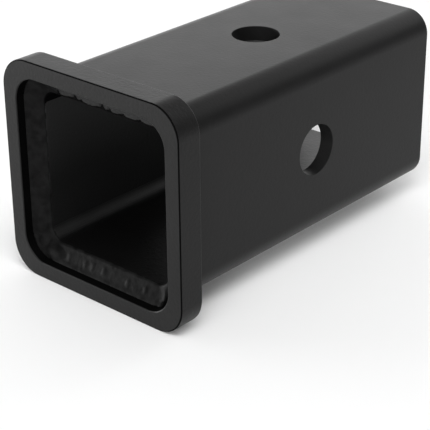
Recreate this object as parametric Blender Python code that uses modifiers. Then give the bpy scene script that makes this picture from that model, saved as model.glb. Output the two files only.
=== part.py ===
"""Hitch reducer sleeve.

A length of square steel tube with a square collar welded round its front
end. It slides into a square receiver until the collar meets the receiver's
mouth, and it takes a smaller square shank in its own bore.

Metres, +Z up. The tube's axis runs level along Y and the collar is at the
front, towards -Y. The origin is on the ground, under the middle of the
sleeve's length and width.
"""

import math

import bmesh
import bpy
from mathutils import Matrix, Vector

# Square tube: outside, wall, outer corners and the rounding of its two ends
TUBE_SIDE = 0.0635
TUBE_WALL = 0.0052
TUBE_CORNER_RADIUS = 0.0082
TUBE_EDGE_RADIUS = 0.00065

# Whole sleeve, from the collar's front face to the tube's rear end
SLEEVE_LENGTH = 0.1372

# Collar: width of its band, depth along the tube, outer corners and edges
COLLAR_BAND = 0.00575
COLLAR_DEPTH = 0.0095
COLLAR_CORNER_RADIUS = 0.0105
COLLAR_EDGE_RADIUS = 0.0006

# Play between the tube and the collar's square hole, on each side
COLLAR_CLEARANCE = 0.0006

# How far the tube's front end lies behind the collar's front face
TUBE_SETBACK = 0.0066

# Cross holes: one pair through the sides, one pair through top and bottom,
# each placed by its distance from the collar's front face
SIDE_HOLE_DIAMETER = 0.0176
SIDE_HOLE_STATION = 0.0739
TOP_HOLE_DIAMETER = 0.0164
TOP_HOLE_STATION = 0.0800
HOLE_EDGE_RADIUS = 0.0002

# Weld bead in the corner between the collar's hole and the tube's front end:
# its leg along the hole, the swell of its face, and its ripples
WELD_LEG = 0.0036
WELD_SWELL = 0.0004
WELD_GAP = 0.0003
RIPPLE_PITCH = 0.0060
RIPPLE_DEPTH = 0.0006

# Powder coat: how light and how rough it is on the flats and on the weld
COAT_SHADE = 0.022
COAT_ROUGHNESS = 0.45
WELD_COAT_SHADE = 0.020
WELD_COAT_ROUGHNESS = 0.50

# Steps that the round forms are drawn in
CORNER_STEPS = 12
EDGE_STEPS = 1
HOLE_STEPS = 48
HOLE_EDGE_STEPS = 2
RIPPLE_STEPS = 8
BEAD_FACE_STEPS = 5

# A turn sharper than the first is an arris to ease, and one gentler than the
# second is shaded as round
ARRIS_ANGLE = math.radians(60)
ROUND_ANGLE = math.radians(35)

# Sizes and places that follow from the ones above
SEAT_SIDE = TUBE_SIDE + 2 * COLLAR_CLEARANCE
SEAT_CORNER_RADIUS = TUBE_CORNER_RADIUS + COLLAR_CLEARANCE
COLLAR_SIDE = SEAT_SIDE + 2 * COLLAR_BAND
BORE_SIDE = TUBE_SIDE - 2 * TUBE_WALL
BORE_CORNER_RADIUS = max(TUBE_CORNER_RADIUS - TUBE_WALL, 2 * TUBE_EDGE_RADIUS)
AXIS_HEIGHT = COLLAR_SIDE / 2
FRONT_Y = -SLEEVE_LENGTH / 2
TUBE_FRONT_Y = FRONT_Y + TUBE_SETBACK
TUBE_LENGTH = SLEEVE_LENGTH - TUBE_SETBACK

# The weld's root lies a gap off the seat and off the tube's front end, and its
# face comes down on the tube where the rounding of the bore's edge starts
ROOT_SIDE = SEAT_SIDE - 2 * WELD_GAP
ROOT_CORNER_RADIUS = SEAT_CORNER_RADIUS - WELD_GAP
WELD_REACH = TUBE_WALL + COLLAR_CLEARANCE - WELD_GAP - TUBE_EDGE_RADIUS

# Handle length of a Bezier quarter circle, as a share of its radius
QUARTER_HANDLE = 4 / 3 * (math.sqrt(2) - 1)

# Turns a flat outline upright, so that its depth runs along Y
UPRIGHT = (math.pi / 2, 0.0, 0.0)

# Turns of a cross hole's cutter: across the tube, or straight up through it
SIDEWAYS = (0.0, math.pi / 2, 0.0)
UPWARDS = (0.0, 0.0, 0.0)

# Points nearer than this are one point
JOIN_DISTANCE = 0.00001


def clear_scene():
    for item in list(bpy.data.objects):
        bpy.data.objects.remove(item)


def add_collection(name):
    collection = bpy.data.collections.new(name)
    bpy.context.scene.collection.children.link(collection)
    return collection


def add_powder_coat(name, shade, roughness):
    """Black powder coat baked on steel."""
    material = bpy.data.materials.new(name)
    material.use_nodes = True
    surface = material.node_tree.nodes["Principled BSDF"]
    surface.inputs["Base Color"].default_value = (shade, shade, shade * 1.05, 1.0)
    surface.inputs["Roughness"].default_value = roughness
    surface.inputs["Metallic"].default_value = 0.0
    return material


def add_round_square(curve, side, radius):
    """Add a square outline with round corners, centred on the curve's origin."""
    reach = side / 2
    straight = reach - radius
    handle = radius * QUARTER_HANDLE
    spline = curve.splines.new("BEZIER")
    spline.bezier_points.add(7)
    spline.use_cyclic_u = True
    spline.resolution_u = CORNER_STEPS
    for corner in range(4):
        turn = Matrix.Rotation(corner * math.pi / 2, 2)
        start = spline.bezier_points[2 * corner]
        end = spline.bezier_points[2 * corner + 1]
        start.handle_left_type = "VECTOR"
        start.handle_right_type = "FREE"
        end.handle_left_type = "FREE"
        end.handle_right_type = "VECTOR"
        start.co.xy = turn @ Vector((reach, straight))
        start.handle_right.xy = turn @ Vector((reach, straight + handle))
        end.co.xy = turn @ Vector((straight, reach))
        end.handle_left.xy = turn @ Vector((straight + handle, reach))


def mesh_from_curve(curve_object, collection):
    """Make a mesh of a curve, with its caps joined to its walls."""
    bpy.context.view_layer.update()
    evaluated = curve_object.evaluated_get(bpy.context.evaluated_depsgraph_get())
    mesh = bpy.data.meshes.new_from_object(evaluated)
    shape = bmesh.new()
    shape.from_mesh(mesh)
    bmesh.ops.remove_doubles(shape, verts=shape.verts, dist=JOIN_DISTANCE)
    bmesh.ops.recalc_face_normals(shape, faces=shape.faces)
    shape.to_mesh(mesh)
    shape.free()
    name = curve_object.name
    place = curve_object.matrix_world.copy()
    bpy.data.objects.remove(curve_object)
    mesh.name = name
    mesh_object = bpy.data.objects.new(name, mesh)
    mesh_object.matrix_world = place
    collection.objects.link(mesh_object)
    return mesh_object


def add_square_ring(name, outside, outside_radius, inside, inside_radius, depth, edge_radius, front_y):
    """A square ring or tube with round corners and eased end edges."""
    curve = bpy.data.curves.new(name, "CURVE")
    curve.dimensions = "2D"
    curve.fill_mode = "BOTH"
    curve.extrude = depth / 2 - edge_radius
    curve.bevel_depth = edge_radius
    curve.bevel_resolution = EDGE_STEPS
    curve.offset = -edge_radius
    add_round_square(curve, outside, outside_radius)
    add_round_square(curve, inside, inside_radius)
    ring = bpy.data.objects.new(name, curve)
    ring.location = (0.0, front_y + depth / 2, AXIS_HEIGHT)
    ring.rotation_euler = UPRIGHT
    parts.objects.link(ring)
    return mesh_from_curve(ring, parts)


def add_hole_cutter(name, diameter, station, rotation):
    """A rod as wide as a cross hole, right through the tube."""
    bpy.ops.mesh.primitive_cylinder_add(
        vertices=HOLE_STEPS,
        radius=diameter / 2,
        depth=2 * TUBE_SIDE,
        location=(0.0, FRONT_Y + station, AXIS_HEIGHT),
        rotation=rotation,
    )
    cutter = bpy.context.active_object
    cutter.name = name
    cutter.hide_render = True
    cutter.display_type = "WIRE"
    for collection in list(cutter.users_collection):
        collection.objects.unlink(cutter)
    cutters.objects.link(cutter)
    return cutter


def cut(target, cutter):
    boolean = target.modifiers.new(cutter.name, "BOOLEAN")
    boolean.operation = "DIFFERENCE"
    boolean.solver = "EXACT"
    boolean.object = cutter


def ease_hole_edges(target):
    """Take the burr off the cross holes, and off nothing else."""
    bevel = target.modifiers.new("eased_holes", "BEVEL")
    bevel.width = HOLE_EDGE_RADIUS
    bevel.segments = HOLE_EDGE_STEPS
    bevel.limit_method = "ANGLE"
    bevel.angle_limit = ARRIS_ANGLE


def bead_path_points():
    """Points along the weld's root, and how full the bead is at each one."""
    reach = ROOT_SIDE / 2
    radius = ROOT_CORNER_RADIUS
    straight = 2 * (reach - radius)
    quarter = radius * math.pi / 2
    side_length = straight + quarter
    length = 4 * side_length
    count = round(length / RIPPLE_PITCH) * RIPPLE_STEPS
    points = []
    for index in range(count):
        side, along = divmod(index * length / count, side_length)
        if along < straight:
            place = Vector((reach, along - straight / 2))
        else:
            angle = (along - straight) / radius
            centre = Vector((reach - radius, straight / 2))
            place = centre + radius * Vector((math.cos(angle), math.sin(angle)))
        place.rotate(Matrix.Rotation(side * math.pi / 2, 2))
        phase = (index % RIPPLE_STEPS) / RIPPLE_STEPS
        trough = (1 - math.sin(math.pi * phase)) ** 2
        points.append((place, 1 - trough * RIPPLE_DEPTH / WELD_REACH))
    return points


def add_bead_section():
    """The bead's section, drawn from its root in the weld's corner."""
    leg = WELD_LEG - WELD_GAP
    face_start = Vector((0.0, leg))
    face_end = Vector((WELD_REACH, 0.0))
    outward = Vector((leg, WELD_REACH)).normalized()
    curve = bpy.data.curves.new("bead_section", "CURVE")
    curve.dimensions = "2D"
    spline = curve.splines.new("POLY")
    spline.points.add(BEAD_FACE_STEPS + 1)
    spline.use_cyclic_u = True
    spline.points[0].co = (0.0, 0.0, 0.0, 1.0)
    for step in range(BEAD_FACE_STEPS + 1):
        share = step / BEAD_FACE_STEPS
        swell = WELD_SWELL * math.sin(math.pi * share)
        place = face_start.lerp(face_end, share) + outward * swell
        spline.points[step + 1].co = (place.x, place.y, 0.0, 1.0)
    section = bpy.data.objects.new("bead_section", curve)
    section.hide_render = True
    section.display_type = "WIRE"
    cutters.objects.link(section)
    return section


def add_weld_bead():
    """One rippled run of weld, all round the tube's front end."""
    section = add_bead_section()
    curve = bpy.data.curves.new("weld_bead", "CURVE")
    curve.dimensions = "2D"
    curve.fill_mode = "NONE"
    curve.bevel_mode = "OBJECT"
    curve.bevel_object = section
    points = bead_path_points()
    spline = curve.splines.new("POLY")
    spline.points.add(len(points) - 1)
    spline.use_cyclic_u = True
    for point, (place, fullness) in zip(spline.points, points):
        point.co = (place.x, place.y, 0.0, 1.0)
        point.radius = fullness
    bead = bpy.data.objects.new("weld_bead", curve)
    bead.location = (0.0, TUBE_FRONT_Y - WELD_GAP, AXIS_HEIGHT)
    bead.rotation_euler = UPRIGHT
    parts.objects.link(bead)
    bead = mesh_from_curve(bead, parts)
    bpy.data.objects.remove(section)
    return bead


def finish(piece, material):
    """Give a piece its coat and smooth shading on its round stretches."""
    piece.data.materials.clear()
    piece.data.materials.append(material)
    piece.data.shade_smooth()
    piece.data.set_sharp_from_angle(angle=ROUND_ANGLE)


clear_scene()
parts = add_collection("hitch_reducer_sleeve")
cutters = add_collection("cutters")

sleeve_tube = add_square_ring(
    "sleeve_tube",
    TUBE_SIDE,
    TUBE_CORNER_RADIUS,
    BORE_SIDE,
    BORE_CORNER_RADIUS,
    TUBE_LENGTH,
    TUBE_EDGE_RADIUS,
    TUBE_FRONT_Y,
)
side_hole = add_hole_cutter("side_hole", SIDE_HOLE_DIAMETER, SIDE_HOLE_STATION, SIDEWAYS)
top_hole = add_hole_cutter("top_hole", TOP_HOLE_DIAMETER, TOP_HOLE_STATION, UPWARDS)
cut(sleeve_tube, side_hole)
cut(sleeve_tube, top_hole)
ease_hole_edges(sleeve_tube)
finish(sleeve_tube, add_powder_coat("tube_coat", COAT_SHADE, COAT_ROUGHNESS))

collar = add_square_ring(
    "collar",
    COLLAR_SIDE,
    COLLAR_CORNER_RADIUS,
    SEAT_SIDE,
    SEAT_CORNER_RADIUS,
    COLLAR_DEPTH,
    COLLAR_EDGE_RADIUS,
    FRONT_Y,
)
finish(collar, add_powder_coat("collar_coat", COAT_SHADE, COAT_ROUGHNESS))

weld_bead = add_weld_bead()
finish(weld_bead, add_powder_coat("bead_coat", WELD_COAT_SHADE, WELD_COAT_ROUGHNESS))
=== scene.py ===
import math
import random

import bmesh
import bpy
from mathutils import Matrix, Vector


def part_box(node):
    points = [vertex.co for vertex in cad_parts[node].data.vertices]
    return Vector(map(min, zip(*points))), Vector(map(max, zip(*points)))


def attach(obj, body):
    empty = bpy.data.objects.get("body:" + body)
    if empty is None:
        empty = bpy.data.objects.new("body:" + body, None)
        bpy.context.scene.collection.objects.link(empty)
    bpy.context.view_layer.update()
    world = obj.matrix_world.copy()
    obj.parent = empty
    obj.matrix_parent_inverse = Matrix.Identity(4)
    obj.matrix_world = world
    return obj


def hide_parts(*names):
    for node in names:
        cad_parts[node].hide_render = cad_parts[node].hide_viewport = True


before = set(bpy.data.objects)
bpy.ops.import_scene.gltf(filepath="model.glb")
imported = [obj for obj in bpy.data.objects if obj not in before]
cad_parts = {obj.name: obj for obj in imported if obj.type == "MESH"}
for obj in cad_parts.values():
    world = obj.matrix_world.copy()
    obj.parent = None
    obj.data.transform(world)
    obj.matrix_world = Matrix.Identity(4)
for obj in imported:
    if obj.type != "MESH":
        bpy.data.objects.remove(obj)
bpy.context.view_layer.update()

# Sleeve tube: a length of hot-rolled square steel tube, sawn square, drilled through both
# ways and powder coated black with the collar, which is welded round its front end. The
# bore's ceiling gets painted shade, its walls are painted darker at the floor and lighter
# up towards the ceiling, the lower corners are glossier in bands as a painted highlight,
# and the holes' walls have a lighter, duller coat.
tube_low, tube_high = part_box("sleeve_tube")
tube_middle = (tube_low + tube_high) / 2
tube_side = tube_high.x - tube_low.x
tube_length = tube_high.y - tube_low.y
tube_front_y = tube_low.y
tube_wall = 0.0052
bore_side = tube_side - 2 * tube_wall
tube_corner_radius = 0.0082
bore_corner_radius = 0.0048
tube_edge_radius = 0.00065
collar_low, collar_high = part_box("collar")
front_y = collar_low.y
side_hole_radius = 0.0088
side_hole_y = front_y + 0.0739
top_hole_radius = 0.0082
top_hole_y = front_y + 0.0800
hole_edge_radius = 0.0002
corner_steps = 20
edge_steps = 4
hole_steps = 96
hole_edge_steps = 3
arris_angle = 60
round_angle = 35
# A place this near a face lies on it, and a face with less than this share of its normal
# along an axis runs along that axis
touch = 0.0001
side_on = 0.5
# The coat is made glossier in bands of the lower corners, counted by how many degrees they lean, so that
# the corners' reflection shows as a bright band: a painted highlight
sheen_band_count = 6
corner_lean_start = 4.0
sheen_band_width = 10.0
sheen_band_gloss = 0.56
sheen_band_skew = 0.55
bore_gloss = 0.30
# Painted light and shade in the bore's coat, darker at the floor and lighter up towards the ceiling, as
# share of its height and tone there
bore_painted_light_tones = ((0.0, 0.001), (0.03, 0.001), (0.08, 0.007), (0.4, 0.007), (1.0, 0.024))
noise_detail = 3.0
patch_low = 0.35
patch_high = 0.65
skin_drift = 0.04
grain_scale = 900.0


def start_piece(name):
    """Name the primitive just added and open it for editing, with nothing of it selected."""
    piece = bpy.context.active_object
    piece.name = name
    bpy.ops.object.transform_apply(location=True, rotation=True, scale=True)
    bpy.ops.object.mode_set(mode="EDIT")
    bpy.ops.mesh.select_all(action="DESELECT")
    return piece


def pick_edges(piece, wanted):
    """Select the edges that the test says yes to, and nothing else."""
    bpy.ops.mesh.select_all(action="DESELECT")
    bpy.ops.mesh.select_mode(type="EDGE")
    form = bmesh.from_edit_mesh(piece.data)
    for edge in form.edges:
        edge.select_set(wanted(edge))
    bmesh.update_edit_mesh(piece.data)


def pick_faces(piece, wanted):
    """Select the faces that the test says yes to, and nothing else."""
    bpy.ops.mesh.select_all(action="DESELECT")
    bpy.ops.mesh.select_mode(type="FACE")
    form = bmesh.from_edit_mesh(piece.data)
    for face in form.faces:
        face.select_set(wanted(face))
    bmesh.update_edit_mesh(piece.data)


def is_hard(edge):
    """An arris that no file or blast has eased yet."""
    return len(edge.link_faces) == 2 and edge.calc_face_angle() > math.radians(arris_angle)


def apply_modifier(piece, kind, **settings):
    """Put a modifier with those settings on the piece and apply it."""
    modifier = piece.modifiers.new(kind.lower(), kind)
    for setting, value in settings.items():
        setattr(modifier, setting, value)
    bpy.context.view_layer.objects.active = piece
    bpy.ops.object.modifier_apply(modifier=modifier.name)


def smooth_piece(piece):
    """Smooth the round stretches and keep the flats flat."""
    bpy.ops.object.select_all(action="DESELECT")
    piece.select_set(True)
    bpy.context.view_layer.objects.active = piece
    bpy.ops.object.shade_smooth_by_angle(angle=math.radians(round_angle))
    apply_modifier(piece, "WEIGHTED_NORMAL", keep_sharp=True, weight=100)


def add_outline(side, corner_radius, y):
    """Add a square with round corners, standing across the tube at y, to the piece being edited."""
    bpy.ops.mesh.select_all(action="DESELECT")
    bpy.ops.mesh.primitive_plane_add(
        size=side, location=(0.0, y, tube_middle.z), rotation=(math.pi / 2, 0.0, 0.0)
    )
    bpy.ops.mesh.bevel(offset=corner_radius, segments=corner_steps, affect="VERTICES")
    bpy.ops.mesh.delete(type="ONLY_FACE")


def raise_ring(outside, outside_radius, inside, inside_radius, y, depth):
    """Turn the plane being edited into a square ring with round corners, that deep along the tube."""
    bpy.ops.mesh.select_all(action="SELECT")
    bpy.ops.mesh.delete(type="VERT")
    add_outline(outside, outside_radius, y)
    add_outline(inside, inside_radius, y)
    bpy.ops.mesh.select_all(action="SELECT")
    bpy.ops.mesh.bridge_edge_loops()
    bpy.ops.mesh.select_all(action="SELECT")
    bpy.ops.mesh.extrude_region_move(TRANSFORM_OT_translate={"value": (0.0, depth, 0.0)})
    bpy.ops.mesh.select_all(action="SELECT")
    bpy.ops.mesh.normals_make_consistent(inside=False)


bpy.ops.object.select_all(action="DESELECT")
bpy.ops.mesh.primitive_plane_add(size=tube_side)
tube_shell = start_piece("tube_shell")
raise_ring(tube_side, tube_corner_radius, bore_side, bore_corner_radius, tube_front_y, tube_length)
pick_edges(tube_shell, is_hard)
bpy.ops.mesh.bevel(offset=tube_edge_radius, segments=edge_steps, affect="EDGES")
bpy.ops.object.mode_set(mode="OBJECT")

sideways = (0.0, math.pi / 2, 0.0)
upwards = (0.0, 0.0, 0.0)
for hole_radius, hole_y, turn in (
    (side_hole_radius, side_hole_y, sideways),
    (top_hole_radius, top_hole_y, upwards),
):
    bpy.ops.object.select_all(action="DESELECT")
    bpy.ops.mesh.primitive_cylinder_add(
        vertices=hole_steps,
        radius=hole_radius,
        depth=2 * tube_side,
        location=(tube_middle.x, hole_y, tube_middle.z),
        rotation=turn,
    )
    drill = bpy.context.active_object
    apply_modifier(tube_shell, "BOOLEAN", operation="DIFFERENCE", solver="EXACT", object=drill)
    bpy.data.objects.remove(drill)

bpy.context.view_layer.objects.active = tube_shell
bpy.ops.object.mode_set(mode="EDIT")
pick_edges(tube_shell, is_hard)
bpy.ops.mesh.bevel(offset=hole_edge_radius, segments=hole_edge_steps, affect="EDGES")
bpy.ops.object.mode_set(mode="OBJECT")
smooth_piece(tube_shell)


def powder_coat(name, shade, gloss, roughness, grain_height, drift_scale=90.0, drift_share=0.15):
    """Black powder coat: a satin skin with a close grain and a little drift in its tone."""
    coat = bpy.data.materials.new(name)
    coat.use_nodes = True
    nodes = coat.node_tree.nodes
    links = coat.node_tree.links
    surface = nodes["Principled BSDF"]
    surface.inputs["Specular IOR Level"].default_value = gloss
    place = nodes.new("ShaderNodeTexCoord")

    drift = nodes.new("ShaderNodeTexNoise")
    drift.inputs["Scale"].default_value = drift_scale
    drift.inputs["Detail"].default_value = noise_detail
    links.new(place.outputs["Object"], drift.inputs["Vector"])
    patches = nodes.new("ShaderNodeMapRange")
    patches.inputs["From Min"].default_value = patch_low
    patches.inputs["From Max"].default_value = patch_high
    links.new(drift.outputs["Fac"], patches.inputs["Value"])
    tone = nodes.new("ShaderNodeMix")
    tone.data_type = "RGBA"
    dark = shade * (1 - drift_share)
    light = shade * (1 + drift_share)
    tone.inputs[6].default_value = (dark, dark, dark, 1.0)
    tone.inputs[7].default_value = (light, light, light, 1.0)
    links.new(patches.outputs["Result"], tone.inputs[0])
    links.new(tone.outputs[2], surface.inputs["Base Color"])

    skin = nodes.new("ShaderNodeMapRange")
    skin.inputs["To Min"].default_value = roughness - skin_drift
    skin.inputs["To Max"].default_value = roughness + skin_drift
    links.new(drift.outputs["Fac"], skin.inputs["Value"])
    links.new(skin.outputs["Result"], surface.inputs["Roughness"])

    grain = nodes.new("ShaderNodeTexNoise")
    grain.inputs["Scale"].default_value = grain_scale
    grain.inputs["Detail"].default_value = noise_detail
    links.new(place.outputs["Object"], grain.inputs["Vector"])
    relief = nodes.new("ShaderNodeBump")
    relief.inputs["Strength"].default_value = 1.0
    relief.inputs["Distance"].default_value = grain_height
    links.new(grain.outputs["Fac"], relief.inputs["Height"])
    links.new(relief.outputs["Normal"], surface.inputs["Normal"])
    return coat


def coat_faces(piece, coat, wanted):
    """Give that coat to the faces that the test says yes to."""
    if piece.data.materials.find(coat.name) < 0:
        piece.data.materials.append(coat)
    bpy.ops.object.mode_set(mode="EDIT")
    pick_faces(piece, wanted)
    piece.active_material_index = piece.data.materials.find(coat.name)
    bpy.ops.object.material_slot_assign()
    bpy.ops.object.mode_set(mode="OBJECT")


def is_in_bore(face):
    """On the bore's walls, floor, ceiling or corners."""
    place = face.calc_center_median() - tube_middle
    reach = bore_side / 2 + touch
    return abs(place.x) < reach and abs(place.z) < reach and abs(face.normal.y) < side_on


def wall_lean(face):
    """How far a face leans from the bore's side walls, in degrees."""
    return math.degrees(math.acos(min(abs(face.normal.x), 1.0)))


def is_in_sheen_band(face, lean):
    """In a lower corner of the bore, where the wall has leant that far towards the floor: a band of
    painted sheen.
    """
    is_low = face.calc_center_median().z < tube_middle.z
    return is_low and is_in_bore(face) and lean <= wall_lean(face) < lean + sheen_band_width


def is_in_hole(face):
    """On the wall of a cross hole."""
    place = face.calc_center_median()
    side_reach = math.hypot(place.y - side_hole_y, place.z - tube_middle.z)
    top_reach = math.hypot(place.y - top_hole_y, place.x)
    in_side_hole = side_reach < side_hole_radius + touch and abs(face.normal.x) < side_on
    in_top_hole = top_reach < top_hole_radius + touch and abs(face.normal.z) < side_on
    return in_side_hole or in_top_hole


def is_on_front_end(face):
    """On the tube's sawn front end, which the weld covers."""
    return face.calc_center_median().y < tube_front_y + tube_edge_radius


def is_in_painted_shade(face):
    """On the bore's ceiling or its corners, or on the tube's end over them: the faces that get painted
    shade.
    """
    rise = face.calc_center_median().z - tube_middle.z
    on_ceiling = is_in_bore(face) and rise > 0 and wall_lean(face) > corner_lean_start
    return on_ceiling or is_on_front_end(face) and rise > bore_side / 2 - bore_corner_radius


tube_coat = powder_coat("tube_coat", shade=0.004, gloss=0.21, roughness=0.45, grain_height=0.00004)
# A darker, duller copy of the coat that stands in for shade: painted shade on the bore's ceiling, the
# collar's seat and front arris, and the weld's lips and nicks
painted_shade_coat = powder_coat("painted_shade_coat", shade=0.002, gloss=0.02, roughness=0.55, grain_height=0.000026)
hole_coat = powder_coat("hole_coat", shade=0.010, gloss=0.08, roughness=0.50, grain_height=0.000026)
bore_painted_light_coat = powder_coat("bore_painted_light_coat", shade=0.004, gloss=bore_gloss, roughness=0.45, grain_height=0.00008)
weld_coat = powder_coat(
    "weld_coat",
    shade=0.006,
    gloss=0.045,
    roughness=0.45,
    grain_height=0.00006,
    drift_scale=380.0,
    drift_share=0.4,
)

# The bore's coat is painted darker at its floor and lighter up its walls: painted light and shade for the
# light that falls into the bore from the front
bore_nodes = bore_painted_light_coat.node_tree.nodes
bore_links = bore_painted_light_coat.node_tree.links
bore_place = bore_nodes.new("ShaderNodeTexCoord")
bore_height = bore_nodes.new("ShaderNodeSeparateXYZ")
bore_rise = bore_nodes.new("ShaderNodeMapRange")
bore_rise.inputs["From Min"].default_value = tube_middle.z - bore_side / 2
bore_rise.inputs["From Max"].default_value = tube_middle.z + bore_side / 2
painted_light_ramp = bore_nodes.new("ShaderNodeValToRGB")
for share, tone in bore_painted_light_tones[1:-1]:
    painted_light_ramp.color_ramp.elements.new(share)
for step, (share, tone) in zip(painted_light_ramp.color_ramp.elements, bore_painted_light_tones):
    step.position = share
    step.color = (tone, tone, tone, 1.0)
bore_links.new(bore_place.outputs["Object"], bore_height.inputs["Vector"])
bore_links.new(bore_height.outputs["Z"], bore_rise.inputs["Value"])
bore_links.new(bore_rise.outputs["Result"], painted_light_ramp.inputs["Fac"])
bore_links.new(painted_light_ramp.outputs["Color"], bore_nodes["Principled BSDF"].inputs["Base Color"])

tube_shell.data.materials.append(tube_coat)
coat_faces(tube_shell, bore_painted_light_coat, is_in_bore)
# Glossier bands in the lower corners brighten their reflection into a band: a painted highlight
for sheen_band in range(sheen_band_count):
    sheen_share = math.sin(math.pi * ((sheen_band + 0.5) / sheen_band_count) ** sheen_band_skew)
    painted_sheen_coat = powder_coat(
        f"painted_sheen_coat_{sheen_band + 1}",
        shade=0.004,
        gloss=bore_gloss + sheen_band_gloss * sheen_share,
        roughness=0.45,
        grain_height=0.00008,
    )
    lean = corner_lean_start + sheen_band * sheen_band_width
    coat_faces(tube_shell, painted_sheen_coat, lambda face: is_in_sheen_band(face, lean))
coat_faces(tube_shell, hole_coat, is_in_hole)
coat_faces(tube_shell, weld_coat, is_on_front_end)
# The bore's ceiling and the tube's end over it get painted shade
coat_faces(tube_shell, painted_shade_coat, is_in_painted_shade)
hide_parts("sleeve_tube")
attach(tube_shell, "root")

# Collar: a square ring of flat steel bar with round corners, the stop that meets the
# receiver's mouth. It is pushed over the front of the tube, welded there and coated
# with it. Its front arris and its seat get a darker, duller coat: painted shade.
collar_middle = (collar_low + collar_high) / 2
collar_side = collar_high.x - collar_low.x
collar_depth = collar_high.y - collar_low.y
collar_corner_radius = 0.0105
collar_edge_radius = 0.0004
collar_clearance = 0.0006
seat_side = tube_side + 2 * collar_clearance
seat_corner_radius = tube_corner_radius + collar_clearance
seat_on = 0.1


def is_front_arris(edge):
    """The arris between the collar's front face and its outside."""
    middle = (edge.verts[0].co + edge.verts[1].co) / 2 - collar_middle
    is_outside = max(abs(middle.x), abs(middle.z)) > (collar_side - collar_corner_radius) / 2
    return is_hard(edge) and is_outside and middle.y < 0


def is_in_seat(face):
    """Inside the collar, where the tube sits."""
    place = face.calc_center_median() - collar_middle
    reach = seat_side / 2 + touch
    return abs(place.x) < reach and abs(place.z) < reach and abs(face.normal.y) < seat_on


bpy.ops.object.select_all(action="DESELECT")
bpy.ops.mesh.primitive_plane_add(size=collar_side)
collar_ring = start_piece("collar_ring")
collar_coat = powder_coat("collar_coat", shade=0.004, gloss=0.21, roughness=0.45, grain_height=0.00008)
collar_ring.data.materials.append(collar_coat)
collar_ring.data.materials.append(painted_shade_coat)
painted_shade_slot = collar_ring.data.materials.find(painted_shade_coat.name)
raise_ring(collar_side, collar_corner_radius, seat_side, seat_corner_radius, front_y, collar_depth)
# The collar's front arris gets the darker, duller coat: a painted dark edge line
pick_edges(collar_ring, is_front_arris)
bpy.ops.mesh.bevel(offset=collar_edge_radius, segments=edge_steps, affect="EDGES", material=painted_shade_slot)
pick_edges(collar_ring, is_hard)
bpy.ops.mesh.bevel(offset=collar_edge_radius, segments=edge_steps, affect="EDGES")
bpy.ops.object.mode_set(mode="OBJECT")
smooth_piece(collar_ring)
# The seat gets the darker, duller coat: painted shade in the gap round the tube
coat_faces(collar_ring, painted_shade_coat, is_in_seat)
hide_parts("collar")
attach(collar_ring, "root")

# Weld bead: one run of weld steel from the collar's seat over the tube's front end to the
# bore, coated with both. It is laid dab over dab up both sides, has low streaks along the
# bottom, and is levelled over the top, where drips and nicks are left in its lower edge.
same_depth = 0.000001
face_touch = 0.00002

# Its section, as reach in from the seat and depth behind the tube's front: the skin from
# the crown at the seat to the toe and the lip, then the root
bead_skin = (
    (0.0, -0.0036),
    (0.0015, -0.0025),
    (0.0031, -0.0015),
    (0.0046, -0.0006),
    (0.0055, -0.0001),
    (0.0059, 0.0006),
)
bead_root = ((0.0057, 0.0014), (0.0052, 0.0019), (0.0, 0.0016))
bead_section = bead_skin + bead_root
crown_depth = bead_skin[0][1]
toe_reach, toe_depth = bead_skin[4]
lip_depth = bead_skin[5][1]
face_slope = (toe_depth - crown_depth) / toe_reach

# The seam follows the seat: up the right side, over the top, down the left side and along
# the bottom. A place on a side is its distance along the seam from the side's middle.
straight_run = seat_side - 2 * seat_corner_radius
corner_run = seat_corner_radius * math.pi / 2
side_run = straight_run + corner_run
seam_length = 4 * side_run
top_seam = side_run + straight_run / 2
left_seam = 2 * side_run + straight_run / 2
bottom_seam = 3 * side_run + straight_run / 2
right_seam = 4 * side_run + straight_run / 2

# The levelled run over the top starts just past the upper left corner, with a short step
# to it, and the run up the right has less slope than the rest
top_start = -0.0193
top_step = 0.0006
top_drop = 0.0030
top_face_depth = -0.0006
top_slope = 0.15
top_lip_rise = 0.0011
lip_height = collar_middle.z + seat_side / 2 - toe_reach + touch
right_turn = 0.0240
right_start = 0.0270
right_slope = 0.3

# Where one dab laps over the next: down the left side, round the lower left corner as the
# share of it still ahead, at the run's end on the bottom, and up the right side
left_laps = (-0.0187, -0.0132, -0.0090, -0.0030, 0.0030, 0.0098, 0.0155)
corner_laps = (0.8, 0.4)
run_end = -0.0205
right_laps = (-0.0200, -0.0140, -0.0095, -0.0040, 0.0035, 0.0100, 0.0170)
dab_steps = 32
dab_stretch = 0.62
dab_overlap = 0.0014
dab_width = 0.0028
dab_height = 0.0010
dab_shift = 0.0034
dab_rise = -0.0007
end_rise = -0.0004
end_lean = -3.0
size_spread = (0.94, 1.06)
lean_spread = (1.5, 3.5)
shift_spread = (-0.0002, 0.0003)
hand_seed = 7

# Low streaks across the bottom run
streaks = (-0.0168, -0.0092, -0.0059, -0.0008, 0.0102, 0.0178)
streak_size = Vector((0.0015, 0.0024, 0.0006))
streak_shift = 0.0036
streak_rise = -0.00055

# Along the lower edge of the top run, with places counted to the right of its middle:
# drips, as place and half length, and nicks, as place, width and height
drips = ((-0.0166, 0.0031), (-0.0055, 0.0050), (0.0051, 0.0046), (0.0132, 0.0036), (0.0208, 0.0040))
drip_width = 0.0011
drip_height = 0.0005
drip_shift = 0.0046
drip_rise = 0.0001
nicks = (
    (-0.0190, 0.0018, 0.0024),
    (-0.0114, 0.0032, 0.0026),
    (-0.0086, 0.0016, 0.0018),
    (0.0006, 0.0028, 0.0027),
    (0.0040, 0.0020, 0.0019),
    (0.0096, 0.0018, 0.0017),
    (0.0168, 0.0014, 0.0016),
)
nick_depth = 0.0005
nick_reach = 0.0003

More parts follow.
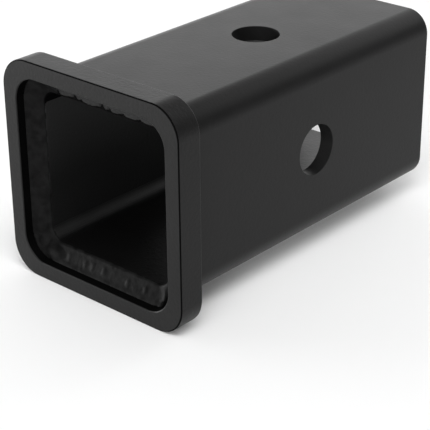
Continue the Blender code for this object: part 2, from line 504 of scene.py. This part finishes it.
# The dabs are fused into one skin, which gets its lumps and is melted smooth
fused_size = 0.00025
lump_size = 0.0026
lump_height = 0.00018
melt_share = 0.5
melt_rounds = 12
# How far the painted shade on the lip reaches, and how far a face has turned to count as lip or wall
lip_reach = 0.0013
top_edge_height = 0.0007
hang_turn = 0.15
lip_turn = 0.7
wall_turn = 0.93


def add_bead_outline(reach, depth):
    """Outline the bead's section at that reach in from the seat, and that depth from the tube's front."""
    side = seat_side - 2 * reach
    radius = max(seat_corner_radius - reach, bore_corner_radius)
    add_outline(side, radius, tube_front_y + depth)


def bridge_depths(first, second):
    """Skin the stretch of the bead between the outlines at those two depths."""
    def is_open_rim(edge):
        y = edge.verts[0].co.y - tube_front_y
        return len(edge.link_faces) < 2 and min(abs(y - first), abs(y - second)) < same_depth

    pick_edges(bead_run, is_open_rim)
    bpy.ops.mesh.bridge_edge_loops()


def is_over_bore(place):
    """On the run over the top of the bore, from where it starts."""
    return place.x > top_start and place.z > collar_middle.z + straight_run / 2 - top_drop


def is_right_of_bore(place):
    """On the run up the right of the bore, with the corner that leads to it."""
    return place.x > right_start - touch and not is_over_bore(place)


def is_on_lower_edge(place):
    """On the lower edge of the run over the bore, in front of the tube's end."""
    return is_over_bore(place) and place.z < lip_height and place.y < tube_front_y


def pick_stretch(wanted):
    """Select the edges of the bead with both ends where the test says yes."""
    pick_edges(bead_run, lambda edge: all(wanted(vert.co) for vert in edge.verts))


def level_face(wanted, depth, slope):
    """Level the bead's face towards that depth where the test says yes, to that share of its slope."""
    face_end = tube_front_y + lip_depth + face_touch
    pick_stretch(lambda place: wanted(place) and place.y < face_end)
    bpy.ops.transform.resize(value=(1.0, slope, 1.0), center_override=(0.0, tube_front_y + depth, 0.0))


bpy.ops.object.select_all(action="DESELECT")
bpy.ops.mesh.primitive_plane_add(size=seat_side)
bead_run = start_piece("bead_run")
bpy.ops.mesh.select_all(action="SELECT")
bpy.ops.mesh.delete(type="VERT")
for reach, depth in bead_section:
    add_bead_outline(reach, depth)
for (_, depth), (_, next_depth) in zip(bead_section, bead_section[1:] + bead_section[:1]):
    bridge_depths(depth, next_depth)
bpy.ops.mesh.select_all(action="SELECT")
bpy.ops.mesh.normals_make_consistent(inside=False)
for cut_x in (top_start - top_step, top_start + touch, right_turn, right_start):
    bpy.ops.mesh.select_all(action="SELECT")
    bpy.ops.mesh.bisect(plane_co=(cut_x, 0.0, 0.0), plane_no=(1.0, 0.0, 0.0))
level_face(is_over_bore, top_face_depth, top_slope)
level_face(is_right_of_bore, toe_depth, right_slope)
pick_stretch(is_on_lower_edge)
bpy.ops.transform.translate(value=(0.0, 0.0, top_lip_rise))
bpy.ops.object.mode_set(mode="OBJECT")

bpy.ops.object.select_all(action="DESELECT")
bpy.ops.mesh.primitive_uv_sphere_add(segments=dab_steps, ring_count=dab_steps // 2, radius=1.0)
dab = start_piece("dab")
bpy.ops.object.mode_set(mode="OBJECT")
dabs = []


def seam_place(distance):
    """The point of the collar's seat at that distance along the seam, and the way along the seam there."""
    reach = seat_side / 2
    side, along = divmod(distance % seam_length, side_run)
    if along < straight_run:
        point = Vector((reach, along - straight_run / 2))
        ahead = Vector((0.0, 1.0))
    else:
        angle = (along - straight_run) / seat_corner_radius
        point = Vector((reach - seat_corner_radius, straight_run / 2))
        point += seat_corner_radius * Vector((math.cos(angle), math.sin(angle)))
        ahead = Vector((-math.sin(angle), math.cos(angle)))
    turn = Matrix.Rotation(side * math.pi / 2, 2)
    point.rotate(turn)
    ahead.rotate(turn)
    return Vector((point.x, 0.0, point.y)), Vector((ahead.x, 0.0, ahead.y))


def lay_dab(distance, size, shift, rise, lean, slope):
    """Lay a dab on the bead's face, shifted in from the seat, raised, and leaning along the seam."""
    point, ahead = seam_place(distance)
    inward = ahead.cross(Vector((0.0, 1.0, 0.0)))
    if inward.dot(point) > 0:
        inward = -inward
    face_y = tube_front_y + toe_depth - slope * toe_reach
    start = Vector((0.0, face_y, collar_middle.z)) + point
    across = (inward + Vector((0.0, slope, 0.0))).normalized()
    outward = ahead.cross(across)
    if outward.y > 0:
        outward = -outward
    place = Matrix((ahead, across, outward)).transposed().to_4x4()
    place.translation = start + across * shift + outward * rise
    tilt = Matrix.Rotation(math.radians(lean), 4, "Y")
    copy = dab.copy()
    copy.data = dab.data.copy()
    copy.matrix_world = place @ tilt @ Matrix.Diagonal(size).to_4x4()
    bpy.context.scene.collection.objects.link(copy)
    dabs.append(copy)


left_run = [left_seam + lap for lap in left_laps]
left_run += [3 * side_run - share * corner_run for share in corner_laps]
left_run += [bottom_seam + run_end]
right_run = [4 * side_run - corner_run / 2]
right_run += [right_seam + lap for lap in right_laps]

hand = random.Random(hand_seed)
for run, slope in ((left_run, face_slope), (right_run, face_slope * right_slope)):
    for lap, next_lap in zip(run, run[1:]):
        length = next_lap - lap
        size = Vector((dab_stretch * length + dab_overlap, dab_width, dab_height))
        size *= hand.uniform(*size_spread)
        is_last = next_lap == left_run[-1]
        rise = end_rise if is_last else dab_rise
        lean = end_lean if is_last else hand.uniform(*lean_spread)
        lay_dab(lap + length / 2, size, dab_shift + hand.uniform(*shift_spread), rise, lean, slope)
for streak in streaks:
    lay_dab(bottom_seam + streak, streak_size, streak_shift, streak_rise, 0.0, face_slope)
for drip, half_length in drips:
    size = Vector((half_length, drip_width, drip_height))
    lay_dab(top_seam - drip, size, drip_shift, drip_rise, 0.0, 0.0)
bpy.data.objects.remove(dab)

bpy.ops.object.select_all(action="DESELECT")
for copy in dabs:
    copy.select_set(True)
bead_run.select_set(True)
bpy.context.view_layer.objects.active = bead_run
bpy.ops.object.join()
bpy.ops.object.mode_set(mode="EDIT")
bpy.ops.mesh.select_all(action="SELECT")
bpy.ops.mesh.normals_make_consistent(inside=False)
bpy.ops.object.mode_set(mode="OBJECT")
apply_modifier(bead_run, "REMESH", mode="VOXEL", voxel_size=fused_size)


def ceiling_rise(place):
    """How far a place lies above the bore's ceiling."""
    return place.z - tube_middle.z - bore_side / 2


def is_in_nick(face):
    """In one of the nicks in the lower edge of the run over the bore, each narrowing to its top."""
    place = face.calc_center_median()
    if not is_over_bore(place) or place.y > tube_front_y + nick_reach:
        return False
    rise = ceiling_rise(place)
    return any(abs(place.x - nick) < width * (1 - rise / height) / 2 for nick, width, height in nicks)


def is_on_lip(face):
    """On the lower edge of the run over the bore, or on the lip of the corner before it."""
    place = face.calc_center_median()
    rise = ceiling_rise(place)
    is_hanging = is_over_bore(place) and (face.normal.z < -hang_turn or rise < top_edge_height)
    return -bore_corner_radius < rise < lip_reach and (is_hanging or abs(face.normal.y) < lip_turn)


def is_on_wall(face):
    """Where the bead has run out on a side wall of the bore."""
    return abs(face.calc_center_median().x) < bore_side / 2 + lip_reach and abs(face.normal.x) > wall_turn


bpy.ops.object.mode_set(mode="EDIT")
pick_faces(bead_run, is_in_nick)
bpy.ops.transform.translate(value=(0.0, nick_depth, 0.0))
bpy.ops.object.mode_set(mode="OBJECT")
lumps = bpy.data.textures.new("lumps", "CLOUDS")
lumps.noise_scale = lump_size
apply_modifier(bead_run, "DISPLACE", texture=lumps, texture_coords="GLOBAL", strength=lump_height)
apply_modifier(bead_run, "SMOOTH", factor=melt_share, iterations=melt_rounds)
bpy.ops.object.shade_smooth()
bead_run.data.materials.append(weld_coat)
coat_faces(bead_run, collar_coat, lambda face: is_over_bore(face.calc_center_median()))
# Where the bead runs onto the bore's walls it gets the bore's coat with its painted light and shade
coat_faces(bead_run, bore_painted_light_coat, is_on_wall)
# The weld's lips and nicks get the darker, duller coat: painted shade under the lip and in the nicks
coat_faces(bead_run, painted_shade_coat, lambda face: is_on_lip(face) or is_in_nick(face))
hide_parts("weld_bead")
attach(bead_run, "root")

# Studio floor: a wide sheet of matt white paper, laid flat, which the sleeve stands on.
# It runs out of the picture on every side.
paper_size = 6.0
paper_shade = 0.975
paper_roughness = 0.9
bpy.ops.object.select_all(action="DESELECT")
bpy.ops.mesh.primitive_plane_add(size=paper_size, location=(0.0, 0.0, 0.0))
floor = bpy.context.active_object
floor.name = "floor"
paper = bpy.data.materials.new("white_paper")
paper.use_nodes = True
paper_surface = paper.node_tree.nodes["Principled BSDF"]
paper_surface.inputs["Base Color"].default_value = (paper_shade, paper_shade, paper_shade, 1.0)
paper_surface.inputs["Roughness"].default_value = paper_roughness
floor.data.materials.append(paper)

# Light: a dim white room with softboxes round the sleeve, aimed at it. Two narrow strips
# stand low at the left, one box at the front right and a pair high above the right. Three
# boxes stand low behind it, from the left to the middle, and a faint pair higher behind.
room_brightness = 0.20
lamp_distance = 1.6
softbox_width = 0.85
# Each softbox's headings and elevation are in degrees, 0 being straight behind the sleeve
# and 90 at its right, and then come the box's height and brightness
softboxes = (
    ("left_strip", (240, 270), 5, 0.28, 20.7),
    ("front_box", (150,), 16, 0.85, 5.3),
    ("right_box", (120, 150), 62, 0.85, 3.4),
    ("back_box", (300, 330, 0), 16, 0.85, 1.95),
    ("rear_box", (0, 30), 38, 0.85, 0.55),
)
world = bpy.data.worlds.new("studio")
bpy.context.scene.world = world
world.use_nodes = True
room = world.node_tree.nodes["Background"]
room.inputs["Color"].default_value = (1.0, 1.0, 1.0, 1.0)
room.inputs["Strength"].default_value = room_brightness
for name, headings, elevation, box_height, brightness in softboxes:
    for heading in headings:
        box = bpy.data.lights.new(name, "AREA")
        box.shape = "RECTANGLE"
        box.size = softbox_width
        box.size_y = box_height
        box.energy = math.pi * softbox_width * box_height * brightness
        lamp = bpy.data.objects.new(name, box)
        level = math.cos(math.radians(elevation))
        across = level * math.sin(math.radians(heading))
        ahead = level * math.cos(math.radians(heading))
        way = Vector((across, ahead, math.sin(math.radians(elevation))))
        lamp.location = way * lamp_distance
        lamp.rotation_euler = way.to_track_quat("Z", "Y").to_euler()
        lamp.visible_camera = False
        bpy.context.scene.collection.objects.link(lamp)

# Camera: on a stand at the right of the collar and above it, turned towards the sleeve,
# with a long lens. That is the photograph's viewpoint.
lens_length = 122.69
sensor_width = 36.0
nearest = 0.01
farthest = 10.0
camera_place = (0.30405, -0.35143, 0.23382)
camera_turn = (63.859, 0.446, 41.482)
lens = bpy.data.cameras.new("camera")
lens.sensor_width = sensor_width
lens.lens = lens_length
lens.clip_start = nearest
lens.clip_end = farthest
camera = bpy.data.objects.new("camera", lens)
camera.location = camera_place
camera.rotation_euler = [math.radians(angle) for angle in camera_turn]
bpy.context.scene.collection.objects.link(camera)
bpy.context.scene.camera = camera
bpy.context.scene.view_settings.view_transform = "Standard"
